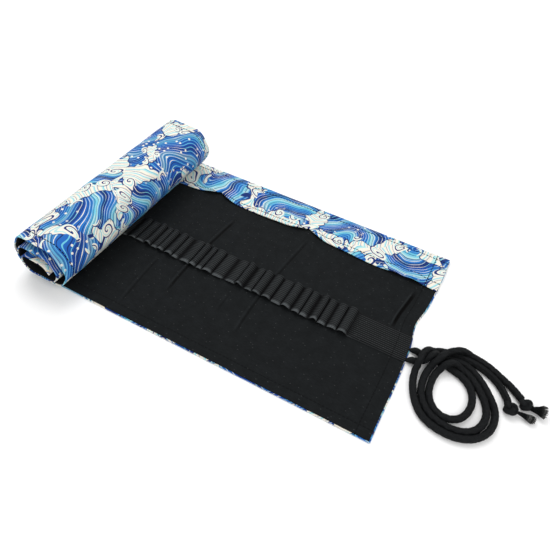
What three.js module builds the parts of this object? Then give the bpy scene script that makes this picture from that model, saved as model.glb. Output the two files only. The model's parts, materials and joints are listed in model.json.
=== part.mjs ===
// Roll-up case for brushes or pencils: a long strip of printed cloth with a dark lining, one row of
// elastic loops along it, and two braided tie cords at one end. The cord end lies flat and the other
// end is rolled up into an oval roll of about two and two thirds turns.
//
// Millimetres, +Z up. +X runs along the strip to the cord end, +Y across it to the folded back edge.
// The strip is built flat, section by section, and every section hangs on the one before it by a fold
// line. Turning each fold by FOLD rolls the strip up.

import * as THREE from 'three';

// ---- Driving dimensions ------------------------------------------------------------------------

const WIDTH = 200;                 // across the strip, front edge to back fold
const COVER = 0.7;                 // thickness of the printed cloth
const LINING = 0.6;                // thickness of the dark lining
const ELASTIC = 0.6;               // thickness of the elastic band
const CLEAR = 0.3;                 // air between two layers of cloth
const FLAP = 43;                   // depth of the cover's hem turned over the back edge
const FOLD_ROUND = 0.7;            // bevel along the folded back edge
const LINING_INSET = 1;            // the lining stops this far inside each long edge

const BAND_FRONT = 74;             // front edge of the elastic band
const BAND_WIDTH = 27;
const LOOP_RISE = 1.9;             // how far an empty loop stands up on the open part
const PRESSED_RISE = 0.6;          // and between two turns of the roll
const LOOP_PITCH = 8.8;            // one loop, where the loops are even
const FIRST_LOOP = 50;             // plain band between the cord end and the first loop
// Loop widths on the flat part, from the cord end inward; a sewn band is never quite even.
const LOOP_WIDTHS = [9, 9, 8, 8, 8, 8, 9, 10, 9, 9, 8, 8, 11, 12, 10, 6, 7, 11, 7, 9, 7, 7, 7, 10, 9];

const FOLD = THREE.MathUtils.degToRad(60);   // turn at each fold line
const FOLDS = 16;                  // fold lines, six to a turn
const ROLL_CENTRE = 287;           // middle of the roll, measured from the cord end
const ROLL_HALF_WIDTH = 31.5;
const ROLL_HALF_HEIGHT = 24;
const TURN_PITCH = 6.2;            // mean distance from one turn to the next
const TURN_SAG = 0.4;             // turns lie this much closer below, and further apart above
const CORNER_RADIUS = 14;          // printed face at the outermost fold
const CORNER_SHRINK = 0.45;        // and less by this at each fold inward
const CORNER_LEAST = 7;
const ROLL_SKEW = THREE.MathUtils.degToRad(1.35);  // the fold lines lean, so inner turns creep forward

const CORD = 5.5;                  // diameter of a tie cord
const FLOOR_GAP = 0.1;             // cords lie this far above the underside
const COIL = { x: 39.5, y: 71, halfWidth: 34.5, halfDepth: 38, hole: 0.42, height: 9 };

// ---- Materials ---------------------------------------------------------------------------------

const printedCloth = () => new THREE.MeshStandardMaterial({ color: 0x3f7fc0, roughness: 0.85, metalness: 0 });
const darkCloth = () => new THREE.MeshStandardMaterial({ color: 0x1c1e20, roughness: 0.95, metalness: 0 });
const elasticWeb = () => new THREE.MeshStandardMaterial({ color: 0x26282a, roughness: 0.9, metalness: 0 });
const braidedCord = () => new THREE.MeshStandardMaterial({ color: 0x141516, roughness: 0.9, metalness: 0 });

// ---- A stretch of the strip, seen from the front -------------------------------------------------
// A run is half a rounded fold, a flat plate and half a rounded fold, all measured on the printed
// face. It starts at its fold line, at (0, 0), and runs toward -X with the plate level.

function makeRun(startRadius, plate, endRadius) {
  const half = FOLD / 2;
  const startArc = startRadius * half;
  const endArc = endRadius * half;
  const plateX = -startRadius * Math.sin(half);
  const plateZ = -startRadius * (1 - Math.cos(half));
  const at = (s) => {
    if (s < startArc) {
      const turn = (s - startArc) / startRadius;
      return onArc(plateX, plateZ, startRadius, turn);
    }
    if (s <= startArc + plate) {
      return { x: plateX - (s - startArc), z: plateZ, inX: 0, inZ: 1 };
    }
    return onArc(plateX - plate, plateZ, endRadius, (s - startArc - plate) / endRadius);
  };
  return { startArc, plate, endArc, length: startArc + plate + endArc, at };
}

// A point on a rounded fold that is level at (x, z); turn is the angle past level.
function onArc(x, z, radius, turn) {
  const inX = Math.sin(turn);
  const inZ = Math.cos(turn);
  return { x: x - radius * inX, z: z + radius * (1 - inZ), inX, inZ };
}

// Distances along a run where its surface bends, with two facets to each half fold.
function bendStations(run) {
  const { startArc, plate, endArc, length } = run;
  const stations = [0];
  if (startArc > 0) stations.push(startArc / 2, startArc);
  if (endArc > 0) stations.push(startArc + plate, length - endArc / 2);
  stations.push(length);
  return stations;
}

// ---- Sweeping a section along a run --------------------------------------------------------------
// The section is a closed outline of [y, depth], depth counted inward from the printed face, and
// outline(s) gives it at distance s. Each end stops half a CLEAR short of its fold line.
// shift(s, x, y, z) then moves the point along the strip's width, because the fold lines lean.

function sweep(run, stations, outline, shift) {
  const positions = [];
  const last = stations.length - 1;
  stations.forEach((s, i) => {
    const point = run.at(s);
    const trim = run.trim(i === 0, i === last);
    for (const [y, depth] of outline(s)) {
      const x = point.x + trim * point.inZ + depth * point.inX;
      const z = point.z - trim * point.inX + depth * point.inZ;
      positions.push(...shift(s, x, y, z));
    }
  });
  const ring = outline(stations[0]);
  const n = ring.length;
  const index = [];
  for (let i = 0; i < last; i += 1) {
    for (let j = 0; j < n; j += 1) {
      const a = i * n + j;
      const b = i * n + (j + 1) % n;
      index.push(a, a + n, b, b, a + n, b + n);
    }
  }
  const cap = THREE.ShapeUtils.triangulateShape(ring.map(([y, d]) => new THREE.Vector2(y, d)), []);
  for (const [a, b, c] of cap) {
    index.push(a, b, c);
    index.push(last * n + a, last * n + c, last * n + b);
  }
  const geometry = new THREE.BufferGeometry();
  geometry.setAttribute('position', new THREE.Float32BufferAttribute(positions, 3));
  geometry.setIndex(index);
  geometry.computeVertexNormals();
  return geometry;
}

// ---- The layers of the strip ---------------------------------------------------------------------

const LINING_DEPTH = COVER + CLEAR;
const BAND_DEPTH = LINING_DEPTH + LINING + CLEAR;

// Printed cloth: the outer face, folded over the lining's back edge, with the hem as a flap.
function coverOutline() {
  const top = BAND_DEPTH + COVER;
  const r = FOLD_ROUND;
  return [
    [0, 0], [WIDTH - r, 0], [WIDTH, r], [WIDTH, top - r], [WIDTH - r, top],
    [WIDTH - FLAP, top], [WIDTH - FLAP, BAND_DEPTH], [WIDTH - COVER, BAND_DEPTH],
    [WIDTH - COVER, COVER], [0, COVER],
  ];
}

function liningOutline() {
  const near = LINING_DEPTH;
  const far = LINING_DEPTH + LINING;
  const back = WIDTH - COVER - LINING_INSET;
  return [[LINING_INSET, near], [back, near], [back, far], [LINING_INSET, far]];
}

function bandOutline(rise) {
  const near = BAND_DEPTH + rise;
  const back = BAND_FRONT + BAND_WIDTH;
  return [[BAND_FRONT, near], [back, near], [back, near + ELASTIC], [BAND_FRONT, near + ELASTIC]];
}

// Stations and rise of the band: every loop is a low arch between two seams.
function bandStations(run, seams, riseAt) {
  const rises = new Map();
  for (const s of bendStations(run)) rises.set(s, 0);
  for (let i = 0; i + 1 < seams.length; i += 1) {
    const width = seams[i + 1] - seams[i];
    rises.set(seams[i], 0);
    for (const part of [0.2, 0.5, 0.8]) {
      const arch = Math.sqrt(1 - (2 * part - 1) ** 2);
      rises.set(seams[i] + part * width, riseAt(seams[i]) * arch);
    }
    rises.set(seams[i + 1], 0);
  }
  const first = seams[0];
  const end = seams[seams.length - 1];
  const kept = [...rises.keys()].filter((s) => rises.get(s) > 0 || seams.includes(s) || s < first || s > end);
  const spread = kept.concat([0, run.length]).sort((a, b) => a - b);
  const stations = spread.filter((s, i) => i === 0 || s - spread[i - 1] > 1e-6);
  return { stations, rise: (s) => rises.get(s) ?? 0 };
}

// Even loops that fill the distance from start to end.
function evenSeams(start, end) {
  const count = Math.max(1, Math.round((end - start) / LOOP_PITCH));
  return Array.from({ length: count + 1 }, (_, i) => start + (i * (end - start)) / count);
}

function sectionMeshes(tag, run, seams, riseAt, shift) {
  const band = bandStations(run, seams, riseAt);
  const cover = sweep(run, bendStations(run), coverOutline, shift);
  const lining = sweep(run, bendStations(run), liningOutline, shift);
  const elastic = sweep(run, band.stations, (s) => bandOutline(band.rise(s)), shift);
  return [
    named(`cover_${tag}`, cover, printedCloth()),
    named(`lining_${tag}`, lining, darkCloth()),
    named(`elastic_${tag}`, elastic, elasticWeb()),
  ];
}

function named(name, geometry, material) {
  const mesh = new THREE.Mesh(geometry, material);
  mesh.name = name;
  return mesh;
}

// ---- The roll's plan -------------------------------------------------------------------------------
// Side k of the roll faces FOLD * k round from the floor. Its distance from the roll's middle comes
// from an ellipse that shrinks by one pitch per turn, and neighbouring distances give its length.

function sideDistance(k) {
  const turn = FOLD * k;
  const ellipse = Math.hypot(ROLL_HALF_WIDTH * Math.sin(turn), ROLL_HALF_HEIGHT * Math.cos(turn));
  const pitch = TURN_PITCH - TURN_SAG * Math.cos(turn);
  return ellipse - (pitch * turn) / (2 * Math.PI);
}

function sideLength(k) {
  const sum = sideDistance(k - 1) + sideDistance(k + 1) - 2 * sideDistance(k) * Math.cos(FOLD);
  return sum / Math.sin(FOLD);
}

const cornerRadius = (k) => Math.max(CORNER_LEAST, CORNER_RADIUS - CORNER_SHRINK * (k - 1));
const cornerReach = (k) => cornerRadius(k) * Math.tan(FOLD / 2);

// ---- The rolled strip: one section beyond each fold line -------------------------------------------

function rolledSection(k, travelled) {
  const hinge = new THREE.Group();
  hinge.name = `fold_${k}`;
  hinge.rotation.y = FOLD;
  const isLast = k === FOLDS;
  const nextReach = isLast ? 0 : cornerReach(k + 1);
  const nextRadius = isLast ? 0 : cornerRadius(k + 1);
  const plate = sideLength(k) - cornerReach(k) - nextReach;
  const run = makeRun(cornerRadius(k), plate, nextRadius);
  run.trim = (atStart, atEnd) => (atStart ? -CLEAR / 2 : atEnd && !isLast ? CLEAR / 2 : 0);
  const creep = Math.tan(ROLL_SKEW);
  const shift = (s, x, y, z) => [x, y - creep * (travelled + s), z];
  hinge.add(...sectionMeshes(String(k).padStart(2, '0'), run, evenSeams(0, run.length), () => PRESSED_RISE, shift));
  if (!isLast) {
    const next = rolledSection(k + 1, travelled + run.length);
    const end = run.at(run.length);
    next.position.set(end.x, 0, end.z);
    hinge.add(next);
  }
  return hinge;
}

// ---- The flat part, from the cord end to the first fold line ---------------------------------------

function flatPart() {
  const side = (sideDistance(1) - sideDistance(0) * Math.cos(FOLD)) / Math.sin(FOLD);
  const plate = ROLL_CENTRE + side - cornerReach(1);
  const run = makeRun(0, plate, cornerRadius(1));
  run.trim = (atStart, atEnd) => (atEnd ? CLEAR / 2 : 0);
  const seams = [FIRST_LOOP];
  for (const width of LOOP_WIDTHS) seams.push(seams[seams.length - 1] + width);
  const evenPart = evenSeams(seams[seams.length - 1], run.length);
  // The first fold line leans by ROLL_SKEW, and the lean dies out before the cord end.
  const shift = (s, x, y, z) => {
    const lean = s >= plate ? Math.tan(ROLL_SKEW) : 0;
    return [x + lean * y, y, z];
  };
  const part = new THREE.Group();
  const riseAt = (s) => (s < seams[seams.length - 1] - 1 ? LOOP_RISE : PRESSED_RISE);
  part.add(...sectionMeshes('flat', run, seams.concat(evenPart.slice(1)), riseAt, shift));
  const end = run.at(run.length);
  const roll = rolledSection(1, 0);
  const skewed = new THREE.Group();
  skewed.rotation.z = -ROLL_SKEW;
  skewed.position.set(end.x, 0, end.z);
  skewed.add(roll);
  part.add(skewed);
  return part;
}

// ---- Tie cords ---------------------------------------------------------------------------------------

const CORD_Z = CORD / 2 + FLOOR_GAP;

// A round cord through a list of [x, y, z], as a tube with eight sides.
function cordTube(name, points, steps) {
  const path = new THREE.CatmullRomCurve3(points.map((p) => new THREE.Vector3(...p)));
  const section = new THREE.Shape();
  for (let i = 0; i < 8; i += 1) {
    const angle = (i + 0.5) * (Math.PI / 4);
    const x = (CORD / 2) * Math.cos(angle);
    const y = (CORD / 2) * Math.sin(angle);
    if (i === 0) section.moveTo(x, y);
    else section.lineTo(x, y);
  }
  section.closePath();
  const geometry = new THREE.ExtrudeGeometry(section, { steps, extrudePath: path, bevelEnabled: false });
  return named(name, geometry, braidedCord());
}

// Both cords are wound loosely together: one ring holds their turns.
function cordCoil() {
  const inner = COIL.hole;
  const bevel = 0.12;
  const top = COIL.height;
  const profile = [
    [inner, 0.2 * top], [inner + bevel, 0], [1 - bevel, 0], [1, 0.2 * top],
    [1, 0.8 * top], [1 - bevel, top], [inner + bevel, top], [inner, 0.8 * top], [inner, 0.2 * top],
  ];
  const geometry = new THREE.LatheGeometry(profile.map(([r, z]) => new THREE.Vector2(r, z)), 40);
  geometry.rotateX(Math.PI / 2);
  geometry.scale(COIL.halfWidth, COIL.halfDepth, 1);
  geometry.translate(COIL.x, COIL.y, FLOOR_GAP);
  return named('cord_coil', geometry, braidedCord());
}

function knot(name, x, y, radius) {
  const geometry = new THREE.SphereGeometry(radius, 12, 8);
  geometry.translate(x, y, radius + FLOOR_GAP);
  return named(name, geometry, braidedCord());
}

// A frayed end: a flared plug of loose yarn lying on the surface.
function tassel(name, from, to, neck, flare) {
  const length = Math.hypot(to[0] - from[0], to[1] - from[1]);
  const profile = [[0, 0], [neck, 0], [0.75 * flare, 0.4 * length], [flare, 0.9 * length], [0, length]];
  const geometry = new THREE.LatheGeometry(profile.map(([r, z]) => new THREE.Vector2(r, z)), 10);
  geometry.rotateZ(-Math.PI / 2);
  geometry.rotateZ(Math.atan2(to[1] - from[1], to[0] - from[0]));
  geometry.translate(from[0], from[1], flare + FLOOR_GAP);
  return named(name, geometry, braidedCord());
}

function tieCords() {
  return [
    cordTube('cord_lead_a', [[0.4, 88, CORD_Z], [3, 88, CORD_Z], [6.5, 88, CORD_Z]], 3),
    cordTube('cord_lead_b', [[0.4, 77, CORD_Z], [2, 77, CORD_Z], [4.5, 77, CORD_Z]], 2),
    cordCoil(),
    cordTube('cord_tail_a', [[67.5, 98.6, 5], [73, 95.6, 4.6], [78, 92.6, 3.8], [83.4, 89.6, 3.6]], 6),
    knot('knot_a', 88.5, 87, 5),
    tassel('tassel_a', [92.6, 89.9], [101, 95], 2.2, 4),
    cordTube('cord_tail_b', [[76.4, 86, 4.2], [78.4, 83.6, 4], [79.6, 81.4, 3.8]], 2),
    knot('knot_b', 80.5, 75.8, 5),
    tassel('tassel_b', [85.9, 77], [102, 78.5], 2.2, 4),
  ];
}

// ---- The whole case, with its origin at the middle of its underside --------------------------------

const strip = flatPart();
strip.updateMatrixWorld(true);
const box = new THREE.Box3().setFromObject(strip, true);
const middle = box.getCenter(new THREE.Vector3());

const group = new THREE.Group();
group.add(strip);
group.add(...tieCords());
group.position.set(-middle.x, -middle.y, -box.min.z);

export default group;
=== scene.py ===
"""Roll-up cloth case for brushes: looks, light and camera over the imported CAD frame.

The case is one long strip. Everything here is drawn in strip coordinates, in metres: u is the
distance from the cord end along the strip, v the distance from its front edge across it, and depth
the distance inward from the printed face. station(u) says where a line across the strip lies, and
is worked out from the frame's fold lines, so each layer bends exactly where the CAD bends.
"""
import json
import math

import bpy
import numpy as np
from mathutils import Matrix, Vector

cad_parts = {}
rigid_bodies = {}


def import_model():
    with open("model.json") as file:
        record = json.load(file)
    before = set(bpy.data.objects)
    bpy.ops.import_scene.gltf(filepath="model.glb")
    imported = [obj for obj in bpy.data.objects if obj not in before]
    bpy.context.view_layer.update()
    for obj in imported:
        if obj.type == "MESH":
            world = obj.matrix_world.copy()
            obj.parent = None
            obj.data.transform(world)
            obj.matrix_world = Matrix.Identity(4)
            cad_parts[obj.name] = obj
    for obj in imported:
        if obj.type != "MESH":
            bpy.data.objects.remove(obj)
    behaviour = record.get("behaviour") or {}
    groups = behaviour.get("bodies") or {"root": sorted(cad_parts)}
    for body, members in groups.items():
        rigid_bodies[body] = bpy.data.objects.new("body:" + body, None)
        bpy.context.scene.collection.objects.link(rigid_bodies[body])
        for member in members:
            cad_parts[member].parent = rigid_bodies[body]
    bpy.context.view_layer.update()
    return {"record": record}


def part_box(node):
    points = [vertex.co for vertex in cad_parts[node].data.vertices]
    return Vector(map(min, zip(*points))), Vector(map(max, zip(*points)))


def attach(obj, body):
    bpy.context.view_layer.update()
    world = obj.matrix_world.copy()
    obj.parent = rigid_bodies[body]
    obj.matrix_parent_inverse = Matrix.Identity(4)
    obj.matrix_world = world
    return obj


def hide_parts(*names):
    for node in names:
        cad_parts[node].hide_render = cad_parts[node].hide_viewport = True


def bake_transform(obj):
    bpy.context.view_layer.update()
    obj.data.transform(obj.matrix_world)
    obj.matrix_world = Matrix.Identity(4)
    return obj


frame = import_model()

MM = 0.001

# ---- Driving dimensions, metres ------------------------------------------------------------------

WIDTH = 200 * MM             # across the strip
COVER = 0.7 * MM             # printed cloth
LINING_DEPTH = 1.0 * MM      # outer face of the lining, inward from the printed face
LINING = 0.6 * MM
BAND_DEPTH = 1.9 * MM        # outer face of the elastic band and of the flap
ELASTIC = 0.6 * MM
FLAP = 43 * MM               # how far the hem is turned over the back edge
BAND_FRONT = 74 * MM
BAND_WIDTH = 27 * MM
FIRST_LOOP = 50 * MM
LOOP_WIDTHS = [9, 9, 8, 8, 8, 8, 9, 10, 9, 9, 8, 8, 11, 12, 10, 6, 7, 11, 7, 9, 7, 7, 7, 10, 9]
LOOP_PITCH = 8.8 * MM
LOOP_RISE = 4.3 * MM
PRESSED_RISE = 0.6 * MM      # loops between two turns of the roll
SEAM_PITCH = 97 * MM         # seams that tack the flap down
FIRST_SEAM = 128 * MM
CORD = 5.5 * MM

# Creases of the lining on the flat part, in millimetres: distance u, first and last v, and height.
CREASES = [
    (195, 38, 146, 0.9),
    (18, 98, 150, 1.5),
    (125, 30, 158, 0.6),
    (222, 8, 72, 0.5),
    (148, 40, 68, 0.4),
]
LEAN_IN = 60 * MM            # of the flat part, over which it takes on the fold lines' lean
CREASE_SWAY = 4.0            # millimetres each way
CREASE_WAVE = 24.0           # radians per metre of v

# ---- The strip's path, from the frame's fold lines -----------------------------------------------

joints = frame["record"]["behaviour"]["joints"]
FOLD = math.radians(joints[0]["range_deg"][1])
HALF = FOLD / 2
hinges = [np.array(j["pos_m"]) for j in joints]
along_fold = -np.array(joints[0]["axis"])
UP = np.array([0.0, 0.0, 1.0])
across_fold = np.cross(along_fold, UP)
lean = along_fold[0] / along_fold[1]
cord_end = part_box("cover_flat")[1][0]
front_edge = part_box("cover_flat")[0][1]


def smooth(share):
    """Eases from 0 to 1 as share goes from 0 to 1."""
    share = min(max(share, 0), 1)
    return share * share * (3 - 2 * share)


def path_sections():
    """Plate and corner radii of every rolled section, read back from neighbouring fold lines."""
    drop = 1 - math.cos(HALF)
    radius = hinges[0][2] / drop
    flat_length = cord_end - hinges[0][0] - radius * math.sin(HALF)
    start = flat_length + radius * HALF
    sections = []
    for k, hinge in enumerate(hinges, 1):
        turn = FOLD * k
        x_axis = math.cos(turn) * across_fold - math.sin(turn) * UP
        z_axis = math.sin(turn) * across_fold + math.cos(turn) * UP
        if k < len(hinges):
            step = hinges[k] - hinge
            next_radius = radius + (step @ z_axis) / drop
            plate = -(step @ x_axis) - (radius + next_radius) * math.sin(HALF)
        else:
            mesh = bpy.data.objects[f"cover_{k:02d}"].data
            reach = max(-(np.array(v.co) - hinge) @ x_axis for v in mesh.vertices)
            next_radius = 0.0
            plate = reach - radius * math.sin(HALF)
        section = dict(k=k, hinge=hinge, x=x_axis, z=z_axis, start=start, radius=radius,
                       plate=plate, next_radius=next_radius)
        section["length"] = radius * HALF + plate + next_radius * HALF
        sections.append(section)
        start += section["length"]
        radius = next_radius
    return flat_length, sections


FLAT_LENGTH, SECTIONS = path_sections()
FIRST_RADIUS = SECTIONS[0]["radius"]
STRIP_LENGTH = SECTIONS[-1]["start"] + SECTIONS[-1]["length"]


def bend_point(x, z, radius, turn):
    """A point and inward normal on a rounded fold that is level at (x, z)."""
    in_x, in_z = math.sin(turn), math.cos(turn)
    return x - radius * in_x, z + radius * (1 - in_z), in_x, in_z


def station(u):
    """Origin on the front edge, inward direction and across direction of the strip at u."""
    first = SECTIONS[0]["start"]
    if u < first:
        x, z, in_x, in_z = -u, 0.0, 0.0, 1.0
        if u > FLAT_LENGTH:
            turn = (u - FLAT_LENGTH) / FIRST_RADIUS
            x, z, in_x, in_z = bend_point(-FLAT_LENGTH, 0.0, FIRST_RADIUS, turn)
        ease = smooth((u - FLAT_LENGTH) / LEAN_IN + 1)
        origin = np.array([cord_end + x, front_edge, z])
        return origin, np.array([in_x, 0.0, in_z]), np.array([lean * ease, 1.0, 0.0])
    s = next(s for s in reversed(SECTIONS) if u >= s["start"] - 1e-9)
    local = u - s["start"]
    plate_x = -s["radius"] * math.sin(HALF)
    plate_z = -s["radius"] * (1 - math.cos(HALF))
    arc = s["radius"] * HALF
    if local < arc:
        x, z, in_x, in_z = bend_point(plate_x, plate_z, s["radius"], (local - arc) / s["radius"])
    elif local <= arc + s["plate"] or not s["next_radius"]:
        x, z, in_x, in_z = plate_x - (local - arc), plate_z, 0.0, 1.0
    else:
        turn = (local - arc - s["plate"]) / s["next_radius"]
        x, z, in_x, in_z = bend_point(plate_x - s["plate"], plate_z, s["next_radius"], turn)
    creep = -(u - first) * lean
    origin = s["hinge"] + x * s["x"] + z * s["z"] + creep * along_fold
    return origin, in_x * s["x"] + in_z * s["z"], along_fold


def plate_span(k):
    """Where section k's plate starts and ends along the strip; section 0 is the flat part."""
    if k == 0:
        return 0.0, FLAT_LENGTH
    s = SECTIONS[k - 1]
    begin = s["start"] + s["radius"] * HALF
    return begin, begin + s["plate"]


def body_name(k):
    return "flat_part" if k == 0 else f"roll_{k:02d}"


def cloth_wave(u, v):
    """Soft unevenness of the cloth, in metres inward, the same for every layer."""
    a = math.sin(u * 61 + 2.1 * math.sin(v * 37)) * math.sin(v * 43 + 1.3)
    b = math.sin(u * 137 + v * 71) * math.sin(v * 113 - u * 29)
    return abs(0.22 * MM * a + 0.10 * MM * b)


def looseness(u):
    """1 on the open part of the case, easing to 0 before the roll presses on the layers."""
    return smooth((FLAT_LENGTH - 14 * MM - u) / (50 * MM))


# ---- Materials -----------------------------------------------------------------------------------


class Graph:
    """Short words for building one material's node tree."""

    def __init__(self, name, roughness=0.9):
        self.material = bpy.data.materials.new(name)
        self.material.use_nodes = True
        self.tree = self.material.node_tree
        self.shader = self.tree.nodes["Principled BSDF"]
        self.shader.inputs["Roughness"].default_value = roughness
        self.shader.inputs["Specular IOR Level"].default_value = 0.08

    def feed(self, socket, value):
        if isinstance(value, bpy.types.NodeSocket):
            self.tree.links.new(value, socket)
        else:
            socket.default_value = value

    def math(self, operation, a, b=0.0, c=0.0):
        node = self.tree.nodes.new("ShaderNodeMath")
        node.operation = operation
        for socket, value in zip(node.inputs, (a, b, c)):
            self.feed(socket, value)
        return node.outputs[0]

    def step(self, value, low, high):
        node = self.tree.nodes.new("ShaderNodeMapRange")
        node.interpolation_type = "SMOOTHSTEP"
        self.feed(node.inputs["Value"], value)
        node.inputs["From Min"].default_value = low
        node.inputs["From Max"].default_value = high
        return node.outputs["Result"]

    def mix(self, factor, a, b):
        node = self.tree.nodes.new("ShaderNodeMix")
        node.data_type = "RGBA"
        self.feed(node.inputs["Factor"], factor)
        self.feed(node.inputs["A"], a)
        self.feed(node.inputs["B"], b)
        return node.outputs["Result"]

    def uv(self):
        """Strip coordinates in millimetres, as two sockets."""
        node = self.tree.nodes.new("ShaderNodeUVMap")
        node.uv_map = "strip"
        split = self.tree.nodes.new("ShaderNodeSeparateXYZ")
        self.tree.links.new(node.outputs["UV"], split.inputs[0])
        u = self.math("MULTIPLY", split.outputs[0], 1000.0)
        v = self.math("MULTIPLY", split.outputs[1], 1000.0)
        return u, v

    def join(self, x, y, z=0.0):
        node = self.tree.nodes.new("ShaderNodeCombineXYZ")
        for socket, value in zip(node.inputs, (x, y, z)):
            self.feed(socket, value)
        return node.outputs[0]

    def noise(self, vector, scale, detail=2.0):
        node = self.tree.nodes.new("ShaderNodeTexNoise")
        self.feed(node.inputs["Vector"], vector)
        node.inputs["Scale"].default_value = scale
        node.inputs["Detail"].default_value = detail
        return node.outputs["Fac"]

    def cells(self, vector, scale, randomness=1.0, feature="F1"):
        """Outputs of a cell pattern; Distance is in cell widths."""
        node = self.tree.nodes.new("ShaderNodeTexVoronoi")
        node.voronoi_dimensions = "2D"
        node.feature = feature
        self.feed(node.inputs["Vector"], vector)
        node.inputs["Scale"].default_value = scale
        node.inputs["Randomness"].default_value = randomness
        return node.outputs

    def cell_edge(self, vector, scale, randomness):
        return self.cells(vector, scale, randomness, "DISTANCE_TO_EDGE")["Distance"]

    def vector(self, operation, a, b=(0.0, 0.0, 0.0)):
        node = self.tree.nodes.new("ShaderNodeVectorMath")
        node.operation = operation
        self.feed(node.inputs[0], a)
        self.feed(node.inputs[1], b)
        return node.outputs["Vector"]

    def split(self, vector, axis=0):
        node = self.tree.nodes.new("ShaderNodeSeparateXYZ")
        self.feed(node.inputs[0], vector)
        return node.outputs[axis]

    def angle(self, vector):
        return self.math("ARCTAN2", self.split(vector, 1), self.split(vector, 0))

    def length(self, vector):
        node = self.tree.nodes.new("ShaderNodeVectorMath")
        node.operation = "LENGTH"
        self.feed(node.inputs[0], vector)
        return node.outputs["Value"]

    def ramp(self, value, stops, interpolation="CONSTANT"):
        node = self.tree.nodes.new("ShaderNodeValToRGB")
        node.color_ramp.interpolation = interpolation
        self.feed(node.inputs["Fac"], value)
        elements = node.color_ramp.elements
        while len(elements) < len(stops):
            elements.new(1.0)
        for element, (position, colour) in zip(elements, stops):
            element.position = position
            element.color = colour
        return node.outputs["Color"]

    def band(self, value, centre, half, soft):
        """1 where value is within half of centre, with soft edges."""
        off = self.math("ABSOLUTE", self.math("SUBTRACT", value, centre))
        return self.math("SUBTRACT", 1.0, self.step(off, half - soft, half + soft))

    def bump(self, height, distance, strength=1.0):
        node = self.tree.nodes.new("ShaderNodeBump")
        node.inputs["Distance"].default_value = distance
        node.inputs["Strength"].default_value = strength
        self.feed(node.inputs["Height"], height)
        self.tree.links.new(node.outputs["Normal"], self.shader.inputs["Normal"])

    def weave(self, u, v, pitch):
        """Height of a plain weave with the given thread pitch in millimetres."""
        warp = self.math("SINE", self.math("MULTIPLY", u, 2 * math.pi / pitch))
        weft = self.math("SINE", self.math("MULTIPLY", v, 2 * math.pi / pitch))
        return self.math("MULTIPLY", warp, weft)

    def stitches(self, u, v, rows):
        """1 on the threads of rows of stitches; a row is the coordinate it keeps, and its value."""
        total = 0.0
        for axis, position in rows:
            along, across = (u, v) if axis == "v" else (v, u)
            line = self.band(across, position, THREAD_HALF, 0.12)
            beat = self.math("FRACT", self.math("MULTIPLY", along, 1 / STITCH_LENGTH))
            dash = self.band(beat, 0.5, 0.36, 0.06)
            total = self.math("MAXIMUM", total, self.math("MULTIPLY", line, dash))
        return total

    def painted_crease_shading(self, u, v, base):
        """Painted shade in each crease's groove and a painted highlight on the ridge beside it."""
        sway = self.math("SINE", self.math("MULTIPLY", v, CREASE_WAVE * MM))
        bend = self.math("MULTIPLY", sway, CREASE_SWAY)
        for at, low, high, size in CREASES:
            off = self.math("SUBTRACT", self.math("SUBTRACT", u, at), bend)
            rise = self.step(v, low, low + 12)
            ends = self.math("MULTIPLY", rise, self.step(v, high, high - 12))
            # Painted shade in the groove, and a painted highlight on the ridge beside it.
            groove = self.math("MULTIPLY", self.band(off, -0.6, 0.4 + 0.7 * size, 0.5), ends)
            ridge = self.math("MULTIPLY", self.band(off, 1.7, 0.8, 0.7), ends)
            dark = self.math("MULTIPLY", groove, min(1.0, 0.85 * size))
            base = self.mix(dark, base, srgb("010101"))
            base = self.mix(self.math("MULTIPLY", ridge, 0.12 * size), base, srgb("3C4042"))
        return base

    def colour(self, value):
        self.feed(self.shader.inputs["Base Color"], value)


def srgb(text):
    """A linear colour from a six-digit hex string."""
    parts = [int(text[i:i + 2], 16) / 255 for i in (0, 2, 4)]
    linear = [p / 12.92 if p <= 0.04045 else ((p + 0.055) / 1.055) ** 2.4 for p in parts]
    return (*linear, 1.0)


NAVY = srgb("1B2A68")
ROYAL = srgb("1F4FA8")
BLUE = srgb("2F7CC8")
CYAN = srgb("6FC4D8")
PALE = srgb("B4DEDC")
CREAM = srgb("EFE9DA")
SAND = srgb("E0CDA4")
THREAD = srgb("12172A")
DYE = srgb("3D6FA0")

THREAD_HALF = 0.42           # millimetres, half a thread's width
STITCH_LENGTH = 3.2          # millimetres

# The print, in millimetres: size of a wave, of its broad bands, of its fine lines and of a curl.
WAVE_SIZE = 64.0
BROAD_BAND = 21.0
FINE_LINE = 2.9
CURL_SIZE = 20.0
FOAM_LEVEL = -0.15


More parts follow.
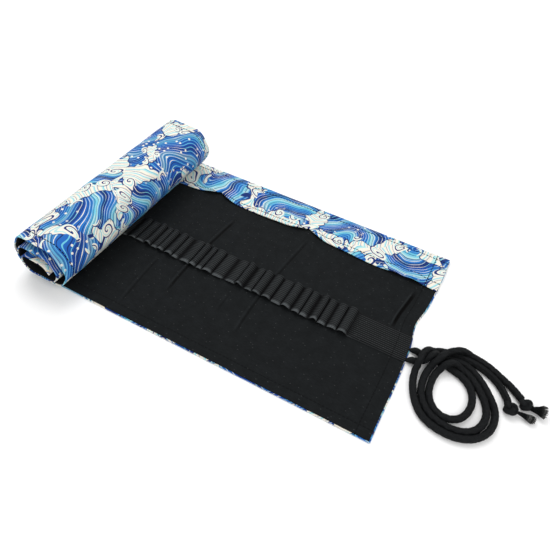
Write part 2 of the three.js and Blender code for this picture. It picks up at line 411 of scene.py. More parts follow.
def printed_cloth():
    """Canvas with a print of sweeping lined waves, foam crests with curls, and spray."""
    g = Graph("printed_cloth", 0.85)
    u, v = g.uv()
    flat = g.join(u, v)
    sway = g.math("MULTIPLY", g.math("SUBTRACT", g.noise(flat, 0.022, 1.0), 0.5), 44.0)
    swell = g.noise(g.join(v, u, 7.0), 0.026, 1.0)
    heave = g.math("MULTIPLY", g.math("SUBTRACT", swell, 0.5), 38.0)
    warped = g.join(g.math("ADD", u, sway), g.math("ADD", v, heave))
    wave = g.cells(warped, 1 / WAVE_SIZE, 0.95)
    edge = g.cell_edge(warped, 1 / WAVE_SIZE, 0.95)

    # Water: in each wave, lines that are arcs round a point near its side, over broad soft bands.
    spread = g.vector("SUBTRACT", wave["Color"], (0.5, 0.5, 0.0))
    spread = g.vector("MULTIPLY", spread, (1.0, 1.0, 0.0))
    away = -0.6 * WAVE_SIZE
    reach = g.vector("MULTIPLY", g.vector("NORMALIZE", spread), (away, away, 0.0))
    local = g.vector("SUBTRACT", g.vector("SUBTRACT", warped, wave["Position"]), reach)
    distance = g.length(g.vector("MULTIPLY", local, (1.0, 1.0, 0.0)))
    broad = g.math("FRACT", g.math("MULTIPLY", distance, 1 / BROAD_BAND))
    bands = [(0.0, ROYAL), (0.30, BLUE), (0.50, CYAN), (0.62, PALE), (0.70, BLUE), (0.88, NAVY)]
    water = g.ramp(broad, bands, "EASE")
    light = g.step(g.noise(g.join(v, u, 12.0), 0.02, 1.0), 0.42, 0.60)
    water = g.mix(g.math("MULTIPLY", light, 0.55), water, ROYAL)
    fine = g.math("FRACT", g.math("MULTIPLY", distance, 1 / FINE_LINE))
    taper = g.math("MULTIPLY", g.noise(flat, 0.08, 1.0), 0.26)
    ink = g.mix(g.step(g.noise(flat, 0.05, 1.0), 0.40, 0.62), CYAN, CREAM)
    water = g.mix(g.math("LESS_THAN", fine, taper), water, ink)
    water = g.mix(g.band(fine, 0.62, 0.07, 0.02), water, NAVY)

    # Spray: round drops over the darker water.
    drop = g.cells(flat, 1 / 6.5, 0.9)
    some = g.math("GREATER_THAN", g.split(drop["Color"]), 0.55)
    drops = g.math("MULTIPLY", some, g.math("LESS_THAN", drop["Distance"], 0.17))
    water = g.mix(g.math("MULTIPLY", drops, light), water, CREAM)

    # Foam where two waves meet: cream with pale streaks, scalloped, outlined, with spiral curls.
    scallop = g.cells(warped, 1 / 10.0, 0.85)["Distance"]
    gather = g.math("MULTIPLY", g.math("SUBTRACT", g.noise(flat, 0.04, 1.0), 0.5), 0.9)
    crest = g.math("SUBTRACT", gather, g.math("ADD", edge, g.math("MULTIPLY", scallop, 0.18)))
    streak = g.math("FRACT", g.math("MULTIPLY", distance, 1 / 6.0))
    streaks = [(0.0, CREAM), (0.34, PALE), (0.50, CYAN), (0.58, CREAM), (0.84, BLUE), (0.90, SAND)]
    foam_colour = g.ramp(streak, streaks)
    picture = g.mix(g.math("GREATER_THAN", crest, FOAM_LEVEL), water, foam_colour)
    picture = g.mix(g.band(crest, FOAM_LEVEL, 0.014, 0.004), picture, NAVY)
    hook = g.cells(warped, 1 / CURL_SIZE, 0.7)
    from_hook = g.vector("SUBTRACT", warped, hook["Position"])
    radius = g.math("MULTIPLY", hook["Distance"], CURL_SIZE)
    angle = g.math("MULTIPLY", g.angle(from_hook), 1 / (2 * math.pi))
    spiral = g.math("FRACT", g.math("ADD", angle, g.math("MULTIPLY", radius, 1 / 4.4)))
    curl_colour = g.ramp(spiral, [(0.0, NAVY), (0.24, CREAM), (0.62, PALE), (0.78, CREAM)])
    near = g.math("GREATER_THAN", crest, FOAM_LEVEL - 0.10)
    inside = g.math("MULTIPLY", near, g.math("LESS_THAN", radius, 5.8))
    picture = g.mix(inside, picture, curl_colour)

    # The cloth itself: slightly uneven dye, weave and rows of stitches.
    grain = g.noise(g.join(u, v, 3.0), 1.9, 2.0)
    picture = g.mix(g.math("MULTIPLY", grain, 0.16), picture, DYE)
    thread = g.stitches(u, v, PRINT_ROWS)
    g.colour(g.mix(thread, picture, THREAD))
    weave = g.weave(u, v, 1.1)
    g.bump(g.math("ADD", g.math("MULTIPLY", weave, 0.5), g.math("MULTIPLY", thread, 2.0)), 0.16 * MM)
    return g.material


def plain_cloth(name, hex_colour, lighter, pitch, depth, rows, elastic=False):
    """Dark plain cloth with a fine weave, faint lint and rows of stitches; the elastic is ribbed.
    Painted shade and painted highlights mark the lining's creases and the elastic's ribs and loops.
    """
    g = Graph(name, 0.72)
    g.shader.inputs["Specular IOR Level"].default_value = 0.07
    u, v = g.uv()
    mottle = g.noise(g.join(u, v), 0.11, 3.0)
    stretched = g.join(g.math("MULTIPLY", u, 0.4), v, 5.0)
    threads = g.math("MULTIPLY", g.noise(stretched, 1.1, 2.0), 0.8)
    base = g.mix(g.math("MULTIPLY", mottle, threads), srgb(hex_colour), srgb(lighter))
    lint = g.cells(g.join(g.math("MULTIPLY", u, 0.35), v), 1 / 5.5, 1.0)["Distance"]
    speck = g.math("MULTIPLY", g.math("LESS_THAN", lint, 0.03), 0.2)
    base = g.mix(speck, base, srgb("8A8C8C"))
    ribs = g.math("SINE", g.math("MULTIPLY", v, 2 * math.pi / pitch))
    if elastic:
        arch = g.tree.nodes.new("ShaderNodeAttribute")
        arch.attribute_name = "arch"
        looped = g.step(u, FIRST_LOOP / MM - 6, FIRST_LOOP / MM + 4)
        # Painted highlight: the loops' front mouths are lightened.
        mouth = g.math("MULTIPLY", g.band(v, BAND_FRONT / MM - 0.6, 1.9, 1.3), looped)
        # Painted highlight: the tops of the loops are lightened.
        top = g.math("MULTIPLY", g.step(arch.outputs["Fac"], 0.5, 1.0), 0.10)
        # Painted highlight: the tops of the ribs are lightened.
        painted_rib_highlight = g.math("MULTIPLY", g.step(ribs, 0.1, 0.9), 0.20)
        base = g.mix(painted_rib_highlight, base, srgb("6A6E70"))
        base = g.mix(g.math("MULTIPLY", top, looped), base, srgb("4E5254"))
        base = g.mix(g.math("MULTIPLY", mouth, 0.8), base, srgb("5A5E60"))
        # Painted shade: the low parts of the band between loops, at their seams, are darkened.
        low = g.math("SUBTRACT", 1.0, g.step(arch.outputs["Fac"], 0.15, 0.7))
        seam = g.math("MULTIPLY", low, looped)
        base = g.mix(g.math("MULTIPLY", seam, 0.9), base, srgb("030304"))
    else:
        base = g.painted_crease_shading(u, v, base)
    thread = g.stitches(u, v, rows)
    g.colour(g.mix(g.math("MULTIPLY", thread, 0.7), base, srgb("08090B")))
    cross = g.math("MULTIPLY", g.weave(u, v, pitch), 0.5)
    weave = g.math("ADD", cross, g.math("MULTIPLY", ribs, 0.8 * elastic))
    g.bump(g.math("SUBTRACT", weave, g.math("MULTIPLY", thread, 1.5)), depth)
    return g.material


# Rows of stitches in millimetres: across the strip at "u", along it at "v". On the printed cloth v
# runs on over the back fold, so the flap's hem is beyond WIDTH.
EDGE_STITCH = 9.0            # from the front edge
END_STITCH = 12.0            # from the cord end
FOLD_STITCH = 8.0            # each way from the back fold
FLAP_STITCH = 7.0            # from the flap's loose edge
BACK_FOLD = WIDTH / MM
PRINT_ROWS = [
    ("v", EDGE_STITCH),
    ("v", BACK_FOLD - FOLD_STITCH),
    ("v", BACK_FOLD + FOLD_STITCH),
    ("v", BACK_FOLD + FLAP / MM - FLAP_STITCH),
    ("u", END_STITCH),
]
LINING_ROWS = [("v", EDGE_STITCH), ("u", END_STITCH)]
BAND_ROWS = [("u", END_STITCH)]

WEAVE_PITCH = 0.8            # millimetres
RIB_PITCH = 1.9

MATERIALS = {
    "cover": printed_cloth(),
    "lining": plain_cloth("dark_lining", "0E1011", "26292B", WEAVE_PITCH, 0.12 * MM, LINING_ROWS),
    "elastic": plain_cloth(
        "elastic_web", "0A0B0C", "1C1F20", RIB_PITCH, 0.3 * MM, BAND_ROWS, elastic=True
    ),
}


# ---- Building a layer ----------------------------------------------------------------------------


def place_mesh(mesh, material):
    """Put a mesh in the scene as an object of the same name."""
    mesh.materials.append(material)
    piece = bpy.data.objects.new(mesh.name, mesh)
    bpy.context.scene.collection.objects.link(piece)
    return piece


def grid_mesh(name, rows, uvs, material, closed=False):
    """A smooth mesh over rows of points; closed joins each row's last point to its first."""
    count, width = len(rows), len(rows[0])
    vertices = [tuple(p) for row in rows for p in row]
    turns = width if closed else width - 1
    faces, corners = [], []
    for i in range(count - 1):
        for j in range(turns):
            a, b = (i, j), (i, (j + 1) % width)
            c, d = (i + 1, (j + 1) % width), (i + 1, j)
            faces.append([r * width + q for r, q in (a, d, c, b)])
            corners += [uvs[r][q] for r, q in (a, d, c, b)]
    mesh = bpy.data.meshes.new(name)
    mesh.from_pydata(vertices, [], faces)
    layer = mesh.uv_layers.new(name="strip")
    layer.data.foreach_set("uv", np.array(corners, np.float32).ravel())
    mesh.shade_smooth()
    return place_mesh(mesh, material)


def cap_ends(piece, width):
    """Close a tube's two ends."""
    mesh = piece.data
    count = len(mesh.vertices)
    vertices = [tuple(v.co) for v in mesh.vertices]
    faces = [list(f.vertices) for f in mesh.polygons]
    uv = [tuple(d.uv) for d in mesh.uv_layers["strip"].data]
    faces += [list(range(width)), list(range(count - 1, count - width - 1, -1))]
    uv += [(0, 0)] * (2 * width)
    mesh.clear_geometry()
    mesh.from_pydata(vertices, [], faces)
    layer = mesh.uv_layers.get("strip") or mesh.uv_layers.new(name="strip")
    layer.data.foreach_set("uv", np.array(uv, np.float32).ravel())
    mesh.shade_smooth()


def steps(start, end, pitch):
    return np.linspace(start, end, max(2, int(math.ceil((end - start) / pitch)) + 1))


def edge_round(v, depth, radius, start, end, count=5):
    """Points on an arc in the (v, depth) plane, angles in degrees."""
    angles = np.radians(np.linspace(start, end, count))
    return [(v + radius * math.cos(a), depth + radius * math.sin(a)) for a in angles]


def seam_distance(u):
    """Distance along the strip to the nearest seam that tacks the flap down."""
    return abs((u - FIRST_SEAM + SEAM_PITCH / 2) % SEAM_PITCH - SEAM_PITCH / 2)


def flap_edge(u):
    """Distance v of the flap's loose edge: it is drawn back where a seam tacks it down."""
    base = WIDTH - FLAP + 4 * MM * smooth((u - 60 * MM) / (80 * MM))
    nearest = seam_distance(u)
    if u < FIRST_SEAM - SEAM_PITCH / 2:
        return base
    return base + 8 * MM * math.exp(-nearest / (9 * MM))


def flap_lift(u, v):
    """How far the flap stands off the lining between its seams."""
    nearest = seam_distance(u)
    ridge = math.exp(-((nearest - 9 * MM) / (7 * MM)) ** 2)
    reach = (WIDTH - v) / FLAP
    sewn = min(1.0, u / (22 * MM))
    ripple = 0.5 * MM * math.sin(u * 90)
    return looseness(u) * sewn * (1.0 * MM + 1.9 * MM * ridge * reach + ripple * reach)


def cover_profile(u):
    """The printed cloth's section at u, as (v, depth, cloth distance): one skin round both edges."""
    top = BAND_DEPTH + COVER
    points = [(6 * MM, LINING_DEPTH - 0.2 * MM), (1 * MM, LINING_DEPTH - 0.1 * MM)]
    points += edge_round(0.45 * MM, 0.45 * MM, 0.45 * MM, 90, 270, 5)
    points += [(v, 0.0) for v in np.linspace(3 * MM, WIDTH - 2.5 * MM, 45)]
    half = top / 2
    points += edge_round(WIDTH - half, half, half, -90, 90, 7)
    edge = flap_edge(u)
    hem = 0.55 * MM
    for v in np.linspace(WIDTH - half - 2 * MM, edge + 2 * hem, 15):
        grow = min(1.0, (WIDTH - v) / (12 * MM))
        ditch = 0.35 * MM * math.exp(-((v - WIDTH + 8 * MM) / (1.5 * MM)) ** 2)
        points.append((v, top + grow * flap_lift(u, v) - ditch))
    lift = flap_lift(u, edge)
    points += edge_round(edge + hem, top + lift - hem, hem, 90, 270, 5)
    points.append((edge + 12 * MM, top + 0.6 * lift - 2 * hem))
    cloth = [0.0]
    for (v0, d0), (v1, d1) in zip(points, points[1:]):
        cloth.append(cloth[-1] + math.hypot(v1 - v0, d1 - d0))
    zero = cloth[4]
    return [(v, d, c - zero) for (v, d), c in zip(points, cloth)]


def crease(u, v):
    """Pressed creases of the lining on the flat part, in metres: a ridge with a groove beside it."""
    height = 0.0
    for at, low, high, size in CREASES:
        rise = min(max((v - low * MM) / (14 * MM), 0), 1)
        ends = rise * min(max((high * MM - v) / (14 * MM), 0), 1)
        bend = at * MM + CREASE_SWAY * MM * math.sin(v * CREASE_WAVE)
        off = (u - bend) / MM
        ridge = math.exp(-((off - 1.6) / 1.3) ** 2)
        groove = 0.5 * math.exp(-((off + 0.6) / 1.0) ** 2)
        height += size * MM * ends * (ridge - groove)
    return height


def loop_seams():
    """Distances u of every seam of the elastic band."""
    seams = [FIRST_LOOP]
    for width in LOOP_WIDTHS:
        seams.append(seams[-1] + width * MM)
    ends = [SECTIONS[0]["start"]] + [s["start"] + s["length"] for s in SECTIONS]
    for end in ends:
        start = seams[-1]
        count = max(1, round((end - start) / LOOP_PITCH))
        seams += [start + (i + 1) * (end - start) / count for i in range(count)]
    return np.array(seams)


SEAMS = loop_seams()
OPEN_PART = FIRST_LOOP + sum(LOOP_WIDTHS) * MM


def loop_shape(u):
    """Rise of the loops at u as a share of full height, and that height."""
    if u <= SEAMS[0] or u >= SEAMS[-1]:
        return 0.0, 0.0
    i = int(np.searchsorted(SEAMS, u, side="right")) - 1
    width = SEAMS[i + 1] - SEAMS[i]
    part = (u - SEAMS[i]) / width
    skew = part + 0.22 * math.sin(2.7 * i) * math.sin(math.pi * part)
    arch = max(0.0, 1 - abs(2 * skew - 1) ** 2.2) ** 0.75
    full = LOOP_RISE if u < OPEN_PART else PRESSED_RISE
    squat = min(1.0, 8.5 * MM / width) ** 2 * (0.70 + 0.30 * math.sin(2.3 * i + 1))
    return arch, full * squat


def band_profile(u):
    """The elastic band's section at u: a closed outline of (v, depth, cloth distance)."""
    arch, height = loop_shape(u)
    back = BAND_FRONT + BAND_WIDTH
    stretch = 1.0 * MM * arch
    front = BAND_FRONT - stretch + 0.6 * MM * math.sin(u * 55)
    inner, outer = [], []
    for share in np.linspace(0, 1, 9):
        v = front + share * (back + 0.4 * stretch - front)
        mouth = 0.5 * math.exp(-share / 0.10) + 0.15 * math.exp(-(1 - share) / 0.12)
        rise = arch * height * (0.85 + mouth)
        outer.append((v, BAND_DEPTH - 0.25 * MM + rise))
        inner.append((v, BAND_DEPTH - 0.25 * MM + rise + ELASTIC))
    points = outer + inner[::-1]
    return [(v, d, v) for v, d in points]


def edge_shift(u, v):
    """How far the cord end's edge is drawn in from a straight line, fading out along the strip."""
    fade = max(0.0, 1 - u / (45 * MM)) ** 2
    dip = 3.0 * math.exp(-((v - 114 * MM) / (15 * MM)) ** 2)
    return fade * MM * (dip + 0.7 * math.sin(v * 52 + 2.0) + 0.7 - 1.4 * math.exp(-v / (25 * MM)))


def layer_rows(kind, us):
    """World points and strip coordinates of one layer over the distances us."""
    rows, uvs = [], []
    for u in us:
        origin, inward, across = station(u)
        if kind == "cover":
            profile = cover_profile(u)
        elif kind == "lining":
            top = LINING_DEPTH + LINING
            under = (1.2 * MM, LINING_DEPTH - 0.1 * MM)
            fronts = [under, (0.8 * MM, LINING_DEPTH + 0.3 * MM), (1.4 * MM, top)]
            vs = np.linspace(3 * MM, WIDTH - 2 * MM, 66)
            profile = [(v, d, v) for v, d in fronts + [(v, top + crease(u, v)) for v in vs]]
        else:
            profile = band_profile(u)
        row, row_uv = [], []
        for v, depth, cloth in profile:
            inset = np.array([edge_shift(u, v), 0, 0])
            row.append(origin + v * across + (depth + cloth_wave(u, v)) * inward - inset)
            row_uv.append((u, cloth))
        rows.append(row)
        uvs.append(row_uv)
    return rows, uvs


def pitch_of(kind, tag):
    """Mesh spacing along the strip; fine where the lining has creases."""
    if kind == "lining" and tag == "flat":
        return 0.9 * MM
    return {"cover": 2.0, "lining": 2.0, "elastic": 0.55}[kind] * MM


def make_layer(kind, tag, start, end):
    """One layer of the strip from start to end."""
    us = steps(start, end, pitch_of(kind, tag))
    if kind == "elastic":
        inside = SEAMS[(SEAMS > start) & (SEAMS < end)]
        us = np.unique(np.round(np.concatenate([us, inside]), 7))
    rows, uvs = layer_rows(kind, us)
    piece = grid_mesh(f"{kind}_{tag}_cloth", rows, uvs, MATERIALS[kind], closed=kind == "elastic")
    if kind == "elastic":
        cap_ends(piece, len(rows[0]))
        arch = piece.data.attributes.new("arch", "FLOAT", "POINT")
        shares = np.repeat([loop_shape(u)[0] for u in us], len(rows[0]))
        arch.data.foreach_set("value", shares.astype(np.float32))
    return piece


def make_hem(name, at, side):
    """The printed cloth turned up over one end of the strip; side is 1 where the strip goes on."""
    radius = 0.45 * MM
    rows, uvs = [], []
    for v in np.linspace(0.6 * MM, WIDTH - 1.3 * MM, 80):
        fold = edge_round(radius, radius, radius, -90, -270, 7)
        profile = [(2.0 * MM, 0.0)] + fold + [(6 * MM, 2 * radius)]
        row, row_uv = [], []
        for along, depth in profile:
            origin, inward, across = station(at + side * max(along, 0.0))
            inset = np.array([edge_shift(along, v) if side > 0 else 0.0, 0, 0])
            lift = cloth_wave(at + side * along, v)
            row.append(origin + v * across + (depth + lift) * inward - inset)
            row_uv.append((at + side * (along - depth), v))
        rows.append(row)
        uvs.append(row_uv)
    hem = grid_mesh(name, rows, uvs, MATERIALS["cover"])
    return hem


# Every layer is one piece on the flat part, then one piece over each fold line, from the middle of
# one plate to the middle of the next. The last one runs to the strip's end.

LEAD_IN = 26 * MM
LAYER_START = {"cover": 0.45 * MM, "lining": 1.0 * MM, "elastic": 0.9 * MM}
HEMS = {
    "flat": [make_hem("cover_hem_cord_end", 0.0, 1)],
    "far": [make_hem("cover_hem_far_end", STRIP_LENGTH, -1)],
}
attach(HEMS["flat"][0], "flat_part")
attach(HEMS["far"][0], body_name(len(SECTIONS)))
for kind in ("cover", "lining", "elastic"):
    cut = FLAT_LENGTH - LEAD_IN
    begin = LAYER_START[kind]
    flat_piece = make_layer(kind, "flat", begin, cut)
    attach(flat_piece, "flat_part")
    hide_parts(f"{kind}_flat")
    for k in range(1, len(SECTIONS) + 1):
        begin, finish = plate_span(k)
        until = (begin + finish) / 2 if k < len(SECTIONS) else STRIP_LENGTH
        piece = make_layer(kind, f"{k:02d}", cut, until)
        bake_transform(piece)
        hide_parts(f"{kind}_{k:02d}")
        cut = until


# ---- Tie cords -------------------------------------------------------------------------------------

# Routes in millimetres from the corner where the front edge meets the cord end: x away from the
# case, y across it, z up. Each cord winds clockwise and runs out over the top to its knot.
ROUTE_A = [
    (-2.5, 88, 3), (3, 88.1, 3), (9, 88.3, 3), (16, 88.5, 3), (24, 88, 3), (33, 86.5, 3),
    (42, 84, 3), (50, 78, 3), (54, 69, 3), (54.5, 59, 3), (50.5, 48, 3), (41.5, 43, 3),
    (31, 44.5, 3), (23.5, 55, 3), (22, 67, 4), (23, 78, 7), (27, 86, 9), (36, 91, 6),
    (46, 88.5, 3), (55, 81, 3), (62, 72, 3), (66.5, 60, 3), (64, 47, 3), (55, 39, 3),
    (42, 37, 3), (29, 41, 3), (20.5, 49, 3), (16.5, 59, 3), (16, 70, 4), (17.5, 81, 9),
    (21, 91, 13), (28, 99, 11), (37, 104, 7), (47, 105.5, 4), (58, 103, 3), (68, 98, 3),
    (77, 94, 3.5), (86, 87, 4),
]
ROUTE_B = [
    (-2.5, 77, 3), (2, 77.2, 3), (6.5, 78, 3), (11, 82, 4), (15.5, 88.5, 8), (23, 93.5, 6),
    (32, 96, 3), (43, 95, 3), (53, 89, 3), (62, 79.5, 3), (70, 70, 3), (72.5, 60, 3),
    (71, 48, 3), (62, 37, 3), (49, 32, 3), (35, 32.5, 3), (23.5, 37, 3), (15.5, 47, 3),
    (10.5, 58, 3), (8.2, 69, 6), (8.5, 80, 9), (12, 90, 8), (20, 97, 4), (31, 100.5, 3),
    (44, 101, 3), (57, 98, 3), (67, 92.5, 3), (73.5, 86, 3), (77.5, 79.5, 3.8),
]


def smooth_route(points, pitch):
    """Evenly spaced points on a Catmull-Rom curve through the given points."""
    p = np.array(points, float)
    p = np.vstack([2 * p[0] - p[1], p, 2 * p[-1] - p[-2]])
    dense = []
    for i in range(1, len(p) - 2):
        for t in np.linspace(0, 1, 24, endpoint=False):
            a, b, c, d = p[i - 1], p[i], p[i + 1], p[i + 2]
            dense.append(0.5 * (2 * b + (c - a) * t + (2 * a - 5 * b + 4 * c - d) * t ** 2
                                + (3 * b - a - 3 * c + d) * t ** 3))
    dense.append(p[-2])
    return even(np.array(dense), pitch)


def even(line, pitch):
    """The same line with points a constant distance apart."""
    reach = np.concatenate([[0], np.cumsum(np.linalg.norm(np.diff(line, axis=0), axis=1))])
    at = np.linspace(0, reach[-1], int(round(reach[-1] / pitch)) + 1)
    return np.stack([np.interp(at, reach, line[:, i]) for i in range(3)], axis=1)


def settle(cords, diameter, pitch, rounds=300):
    """Push crossing cords apart and let them sink to the floor or onto each other."""
    owner = np.concatenate([np.full(len(c), i) for i, c in enumerate(cords)])
    place = np.concatenate([np.arange(len(c)) for c in cords])
    x = np.vstack(cords)
    home = x[:, :2].copy()
    between = np.abs(place[:, None] - place[None, :]) * pitch
    apart = (owner[:, None] != owner[None, :]) | (between > 3 * diameter)
    fixed = place < 3
    for _ in range(rounds):
        x[:, 2] -= 0.04
        gap = x[:, None, :] - x[None, :, :]
        far = np.linalg.norm(gap, axis=2) + 1e-9
        push = np.where((far < diameter) & apart, (diameter - far) * 0.5, 0.0)
        move = gap / far[:, :, None] * push[:, :, None]
        move[:, :, :2] *= 0.5
        step = move.sum(1) / np.maximum((push > 0).sum(1), 1)[:, None] * 1.6
        step[fixed] = 0
        x += step
        x[:, :2] += 0.02 * (home - x[:, :2])
        for i in range(len(cords)):
            mine = np.where(owner == i)[0]
            middle = 0.5 * (x[mine[:-2]] + x[mine[2:]])
            x[mine[1:-1]] += 0.2 * (middle - x[mine[1:-1]])
        x[:, 2] = np.maximum(x[:, 2], diameter / 2 + 0.1)
    return [x[owner == i] for i in range(len(cords))]


def tube(line, radius_at, sides, normal=(0, 0, 1)):
    """Rows of points round a line, with radius_at(distance, angle)."""
    tangents = np.gradient(line, axis=0)
    tangents /= np.linalg.norm(tangents, axis=1)[:, None]
    side = np.cross(tangents[0], normal)
    rows, uvs, distance = [], [], 0.0
    for i, (point, tangent) in enumerate(zip(line, tangents)):
        side = side - tangent * (side @ tangent)
        side /= np.linalg.norm(side)
        other = np.cross(tangent, side)
        if i:
            distance += np.linalg.norm(point - line[i - 1])
        row, row_uv = [], []
        for j in range(sides):
            angle = 2 * math.pi * j / sides
            r = radius_at(distance, angle)
            row.append(point + r * (math.cos(angle) * side + math.sin(angle) * other))
            row_uv.append((distance, radius_at(0, 0) * angle))
        rows.append(row)
        uvs.append(row_uv)
    return rows, uvs


def sewn_in(distance):
    """0 to 1 over the stretch where a cord leaves the seam that flattens it."""
    return smooth(distance / SEWN_LENGTH)


def braid(radius, sewn=False):
    """Radius of a round braid: two sets of strands that cross."""
    def at(distance, angle):
        thick = 0.35 + 0.65 * sewn_in(distance) if sewn else 1.0
        twist = distance * 2 * math.pi / BRAID_PITCH
        one = math.cos(STRANDS * angle + twist)
        two = math.cos(STRANDS * angle - twist)
        return radius * thick * (0.91 + 0.13 * max(one, two))
    return at


def cord_material(name="braided_cord", tips=False):
    g = Graph(name, 0.62)
    g.shader.inputs["Specular IOR Level"].default_value = 0.12
    u, v = g.uv()
    fuzz = g.noise(g.join(u, v), 1.3, 3.0)
    base = g.mix(fuzz, srgb("08090A"), srgb("1E2022"))
    frayed = g.math("MULTIPLY", g.step(u, 7.0, 11.0), g.step(fuzz, 0.45, 0.6))
    g.colour(g.mix(frayed, base, srgb("8C8C8A")) if tips else base)
    fibre = g.math("SINE", g.math("MULTIPLY", g.math("ADD", u, v), 9.0))
    g.bump(g.math("ADD", fibre, fuzz), 0.12 * MM)
    return g.material


STRANDS = 5                  # each way round the braid
BRAID_PITCH = 6.2 * MM
CORD_SIDES = 20
KNOT_SIDES = 14
KNOT_CORD = 3.9 * MM         # the cord pulled thin in its knot
YARNS = 110
YARN_RADIUS = 0.27 * MM
YARN_POINTS = 6
YARN_SIDES = 4
SEWN_LENGTH = 6 * MM         # over which a cord gets its round shape back after the seam
SEWN_HEIGHT = 1.4 * MM       # of a cord's middle where it is sewn in
CORD_MATERIAL = cord_material()
FRAY_MATERIAL = cord_material("frayed_yarn", tips=True)
corner = np.array([cord_end, front_edge, 0.0])


def make_knot(name, centre, turn, size):
    """An overhand knot: the cord wound once through itself."""
    t = np.linspace(0, 2 * math.pi, 90)
    x = (2.3 + 1.15 * np.cos(3 * t)) * np.cos(2 * t)
    y = (2.3 + 1.15 * np.cos(3 * t)) * np.sin(2 * t)
    z = 1.25 * np.sin(3 * t)
    line = np.stack([x * 1.05, y * 0.95, z], axis=1) * size * MM
    spin = np.array(Matrix.Rotation(turn, 3, "Z"))
    line = line @ spin.T + centre
    rows, uvs = tube(line, braid(KNOT_CORD / 2), KNOT_SIDES)
    piece = grid_mesh(name, rows, uvs, CORD_MATERIAL, closed=True)
    cap_ends(piece, KNOT_SIDES)
    return piece


def make_tassel(name, start, direction, length, flare):
    """A frayed end: loose yarns that spread as they leave the knot."""
    generator = np.random.default_rng(7)
    ahead = np.array([math.cos(direction), math.sin(direction), 0.0])
    left = np.array([-ahead[1], ahead[0], 0.0])
    vertices, faces, corners = [], [], []
    for _ in range(YARNS):
        angle = generator.uniform(0, 2 * math.pi)
        spread = math.sqrt(generator.uniform(0, 1))
        reach = length * generator.uniform(0.75, 1.05)
        curl = generator.uniform(-1, 1)
        line = []
        for s in np.linspace(0, 1, YARN_POINTS):
            wide = (0.28 + 0.72 * s ** 1.3) * flare * spread
            off = left * (math.cos(angle) * wide + curl * 0.8 * MM * s * math.sin(5 * s))
            height = math.sin(angle) * wide * 0.75 + (flare * 0.75 + 0.35 * MM - start[2]) * s
            line.append(start + ahead * reach * s + off + UP * height)
        rows, uvs = tube(np.array(line), lambda d, a: YARN_RADIUS, YARN_SIDES)
        base = len(vertices)
        vertices += [tuple(p) for row in rows for p in row]
        last = YARN_POINTS - 1
        for i in range(last):
            for j in range(YARN_SIDES):
                after = (j + 1) % YARN_SIDES
                quad = [(i, j), (i + 1, j), (i + 1, after), (i, after)]
                faces.append([base + r * YARN_SIDES + q for r, q in quad])
                corners += [uvs[r][q] for r, q in quad]
        tip = list(reversed(range(YARN_SIDES)))
        faces.append([base + last * YARN_SIDES + q for q in tip])
        corners += [uvs[last][q] for q in tip]
    mesh = bpy.data.meshes.new(name)
    mesh.from_pydata(vertices, [], faces)
    layer = mesh.uv_layers.new(name="strip")
    layer.data.foreach_set("uv", np.array(corners, np.float32).ravel())
    mesh.shade_smooth()
    return place_mesh(mesh, FRAY_MATERIAL)


SETTLE_PITCH = 2.0           # millimetres between the points that settle
PATH_PITCH = 0.9             # millimetres between the rings of a cord's mesh
SEAM_RINGS = 12              # rings that the seam may still hold down
lines = [smooth_route(route, SETTLE_PITCH) for route in (ROUTE_A, ROUTE_B)]
lines = settle(lines, CORD / MM, SETTLE_PITCH)

# Each cord's end, in millimetres and radians: the knot's centre, turn and size, then the tassel's
# start, direction, length and flare.
ENDS = {
    "a": ((89.3, 83.6, 3.7), 0.5, 1.0, (92.8, 82.2, 3.6), 0.16, 11.5, 5.2),
    "b": ((79.6, 74.6, 4.1), 2.2, 1.15, (84.0, 74.2, 3.8), 0.0, 14.0, 3.2),
}
REPLACED = {"a": ["cord_lead_a", "cord_tail_a", "cord_coil"], "b": ["cord_lead_b", "cord_tail_b"]}
for tag, line in zip("ab", lines):
    path = even(line, PATH_PITCH) * MM + corner
    for i, point in enumerate(path[:SEAM_RINGS]):
        share = sewn_in(i * PATH_PITCH * MM)
        point[2] = share * point[2] + (1 - share) * SEWN_HEIGHT
    rows, uvs = tube(path, braid(CORD / 2, sewn=True), CORD_SIDES)
    piece = grid_mesh(f"tie_cord_{tag}", rows, uvs, CORD_MATERIAL, closed=True)
    cap_ends(piece, CORD_SIDES)
    centre, turn, size, neck, direction, length, flare = ENDS[tag]
    knot = make_knot(f"tie_knot_{tag}", corner + np.array(centre) * MM, turn, size)
    start = corner + np.array(neck) * MM
    tassel = make_tassel(f"tie_tassel_{tag}", start, direction, length * MM, flare * MM)
    for part in (piece, knot, tassel):
        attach(part, "flat_part")
    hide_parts(*REPLACED[tag])
    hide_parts(f"knot_{tag}")
    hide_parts(f"tassel_{tag}")


# ---- Floor, light and camera -------------------------------------------------------------------------


FLOOR_SIZE = 12.0
FLOOR_DROP = 0.3 * MM
WORLD_LIGHT = 0.75
KEY_WATTS = 9.0
FILL_WATTS = 5.0
CAMERA_PLACE = (1.99 * MM, -184.92 * MM, 354.64 * MM)    # from the corner at the cord end
CAMERA_DEGREES = (24.54, 48.22, 4.975)                   # yaw, pitch down and roll
LENS = 35.85                                             # millimetres, on a 36 mm sensor


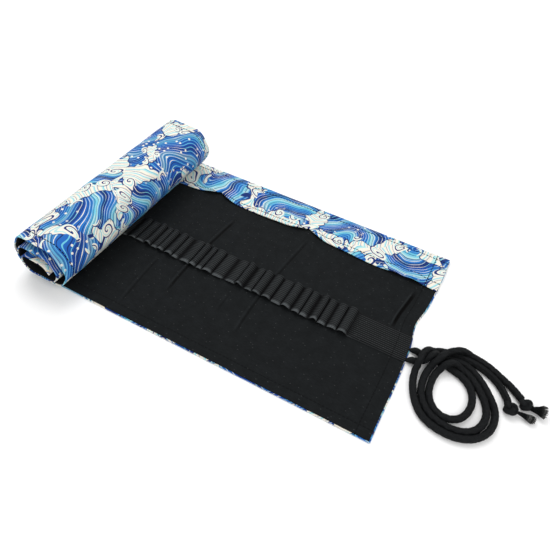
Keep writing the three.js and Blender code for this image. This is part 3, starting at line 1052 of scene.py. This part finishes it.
def make_floor():
    """A wide pale floor, just below the case so that their faces don't fight."""
    mesh = bpy.data.meshes.new("floor")
    far = FLOOR_SIZE / 2
    corners = [(-far, -far, 0), (far, -far, 0), (far, far, 0), (-far, far, 0)]
    mesh.from_pydata(corners, [], [[0, 1, 2, 3]])
    g = Graph("floor", 0.9)
    g.colour((0.93, 0.93, 0.93, 1.0))
    g.shader.inputs["Specular IOR Level"].default_value = 0.0
    floor = place_mesh(mesh, g.material)
    floor.location.z = -FLOOR_DROP


def make_area_light(name, place, target, size, power):
    light = bpy.data.lights.new(name, "AREA")
    light.size = size
    light.energy = power
    lamp = bpy.data.objects.new(name, light)
    lamp.location = place
    lamp.rotation_euler = (Vector(target) - Vector(place)).to_track_quat("-Z", "Y").to_euler()
    bpy.context.scene.collection.objects.link(lamp)


def make_world():
    world = bpy.data.worlds.new("studio")
    world.use_nodes = True
    background = world.node_tree.nodes["Background"]
    background.inputs["Color"].default_value = (1.0, 1.0, 1.0, 1.0)
    background.inputs["Strength"].default_value = WORLD_LIGHT
    bpy.context.scene.world = world


def make_camera():
    """The camera stands over the front edge near the cord end and looks down along the strip."""
    yaw, pitch, roll = (math.radians(a) for a in CAMERA_DEGREES)
    level = math.cos(pitch)
    ahead = np.array([-math.sin(yaw) * level, math.cos(yaw) * level, -math.sin(pitch)])
    right = np.array([math.cos(yaw), math.sin(yaw), 0.0])
    up = np.cross(right, ahead)
    turned_right = math.cos(roll) * right + math.sin(roll) * up
    turned_up = -math.sin(roll) * right + math.cos(roll) * up
    data = bpy.data.cameras.new("camera")
    data.sensor_width = 36
    data.lens = LENS
    data.clip_start = 0.01
    camera = bpy.data.objects.new("camera", data)
    turn = Matrix((turned_right, turned_up, -ahead)).transposed().to_4x4()
    place = Vector(corner) + Vector(CAMERA_PLACE)
    camera.matrix_world = Matrix.Translation(place) @ turn
    bpy.context.scene.collection.objects.link(camera)
    bpy.context.scene.camera = camera


make_floor()
make_world()
make_area_light("key", (-0.5, 0.5, 1.1), (0, 0, 0), 0.9, KEY_WATTS)
make_area_light("fill", (0.7, -0.6, 0.9), (0, 0, 0), 1.0, FILL_WATTS)
make_camera()
bpy.context.scene.view_settings.view_transform = "Standard"
